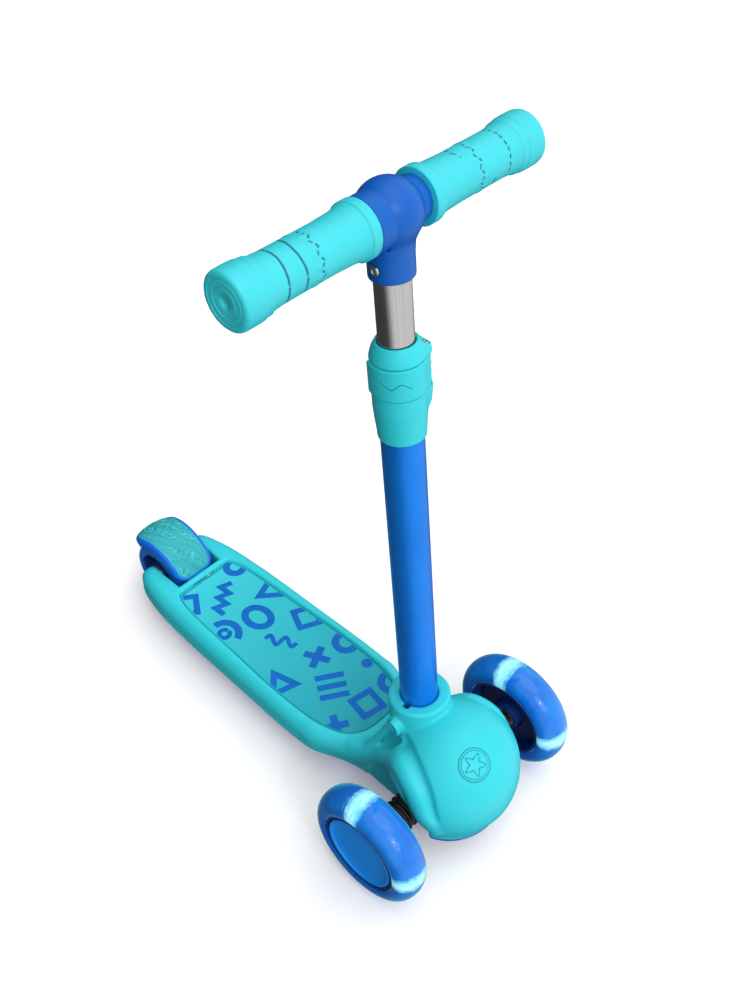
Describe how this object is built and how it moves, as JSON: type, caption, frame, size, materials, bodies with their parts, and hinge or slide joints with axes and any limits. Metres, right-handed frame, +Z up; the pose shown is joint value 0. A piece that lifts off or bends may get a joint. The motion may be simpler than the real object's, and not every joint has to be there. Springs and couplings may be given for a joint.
{
  "type": "kick scooter",
  "caption": "Toddler's lean-to-steer kick scooter: moulded deck with a foot brake, tilting truck, lift-out stem, quick-release telescoping T-bar and light-up clear tyres.",
  "frame": {"origin": "on the floor under the middle of the scooter's outer box", "axes": "+X points forward, +Y to the rider's left, +Z up"},
  "size_m": [0.513, 0.282, 0.6468],
  "materials": {
    "turquoise_plastic": "satin moulded plastic",
    "turquoise_rubber": "soft matte moulded rubber",
    "pad_rubber": "matte rubber sheet",
    "blue_plastic": "satin-gloss moulded plastic",
    "blue_paint": "satin blue anodised tube",
    "clear_blue_tyre": "clear glossy polyurethane",
    "navy_plastic": "satin moulded plastic",
    "black_nylon": "matte nylon",
    "steel": "zinc-plated steel",
    "brushed_aluminium": "brushed along its length",
    "white_board": "white light ring"
  },
  "bodies": {
    "deck": {"deck_shell": "turquoise_plastic", "deck_pad": "pad_rubber", "base_plate": "blue_plastic", "base_screw_1_left": "steel", "base_screw_1_right": "steel", "base_screw_2_left": "steel", "base_screw_2_right": "steel", "base_screw_3_left": "steel", "base_screw_3_right": "steel", "kingpin_bolt": "steel", "steering_spring_left": "steel", "steering_spring_right": "steel", "rear_axle": "steel", "rear_spacer": "steel", "brake_pin": "steel", "brake_spring": "steel", "button_spring": "steel"},
    "truck": {"truck": "black_nylon", "front_axle_left": "steel", "front_axle_right": "steel", "front_axle_nut_left": "steel", "front_axle_nut_right": "steel", "magnet_sleeve_left": "steel", "magnet_sleeve_right": "steel"},
    "front_wheel_left": {"front_tyre_left": "clear_blue_tyre", "front_hub_left": "navy_plastic", "light_ring_left": "white_board", "hub_cap_left": "blue_plastic", "front_bearing_inner_left": "steel", "front_bearing_outer_left": "steel"},
    "front_wheel_right": {"front_tyre_right": "clear_blue_tyre", "front_hub_right": "navy_plastic", "light_ring_right": "white_board", "hub_cap_right": "blue_plastic", "front_bearing_inner_right": "steel", "front_bearing_outer_right": "steel"},
    "rear_wheel": {"rear_tyre": "clear_blue_tyre", "rear_hub": "navy_plastic", "rear_bearing_left": "steel", "rear_bearing_right": "steel"},
    "brake": {"brake_fender": "blue_plastic", "fender_insert": "pad_rubber"},
    "stem": {"stem_tube": "blue_paint", "snap_spring": "steel", "clamp_body": "turquoise_plastic", "clamp_pin": "steel", "tube_bush": "black_nylon"},
    "lever": {"clamp_lever": "turquoise_plastic"},
    "bar": {"inner_tube": "brushed_aluminium", "tube_guide": "black_nylon", "t_head": "blue_plastic", "head_screw": "steel", "handlebar_tube": "brushed_aluminium", "grip_left": "turquoise_rubber", "grip_right": "turquoise_rubber"},
    "button": {"release_button": "blue_plastic"}
  },
  "joints": [
    {"name": "lean_steer", "type": "hinge", "parent": "deck", "child": "truck", "pos_m": [0.187, 0, 0.06], "axis": [0.7071, 0, 0.7071], "range_deg": [-10, 10], "stiffness_Nm_per_rad": 25, "deforming": ["steering_spring_left", "steering_spring_right"]},
    {"name": "front_wheel_left_spin", "type": "hinge", "parent": "truck", "child": "front_wheel_left", "pos_m": [0.187, 0.102, 0.06], "axis": [0, 1, 0], "continuous": true},
    {"name": "front_wheel_right_spin", "type": "hinge", "parent": "truck", "child": "front_wheel_right", "pos_m": [0.187, -0.102, 0.06], "axis": [0, 1, 0], "continuous": true},
    {"name": "rear_wheel_spin", "type": "hinge", "parent": "deck", "child": "rear_wheel", "pos_m": [-0.2165, 0, 0.04], "axis": [0, 1, 0], "continuous": true},
    {"name": "brake_press", "type": "hinge", "parent": "deck", "child": "brake", "pos_m": [-0.163, 0, 0.0465], "axis": [0, -1, 0], "range_deg": [0, 4], "stiffness_Nm_per_rad": 1.5, "springref_deg": -17.19, "deforming": ["brake_spring"]},
    {"name": "stem_lift", "type": "slide", "parent": "deck", "child": "stem", "axis": [-0.1106, 0, 0.9939], "range_m": [0, 0.065], "deforming": ["snap_spring"]},
    {"name": "bar_height", "type": "slide", "parent": "stem", "child": "bar", "axis": [-0.1106, 0, 0.9939], "range_m": [-0.045, 0.11]},
    {"name": "clamp_lever_open", "type": "hinge", "parent": "stem", "child": "lever", "pos_m": [0.12165, 0.01679, 0.49885], "axis": [-0.1106, 0, 0.9939], "range_deg": [0, 110]},
    {"name": "release_button_press", "type": "slide", "parent": "deck", "child": "button", "axis": [0, 1, 0], "range_m": [0, 0.003], "stiffness_N_per_m": 150, "springref_m": -0.002, "deforming": ["button_spring", "snap_spring"]}
  ]
}
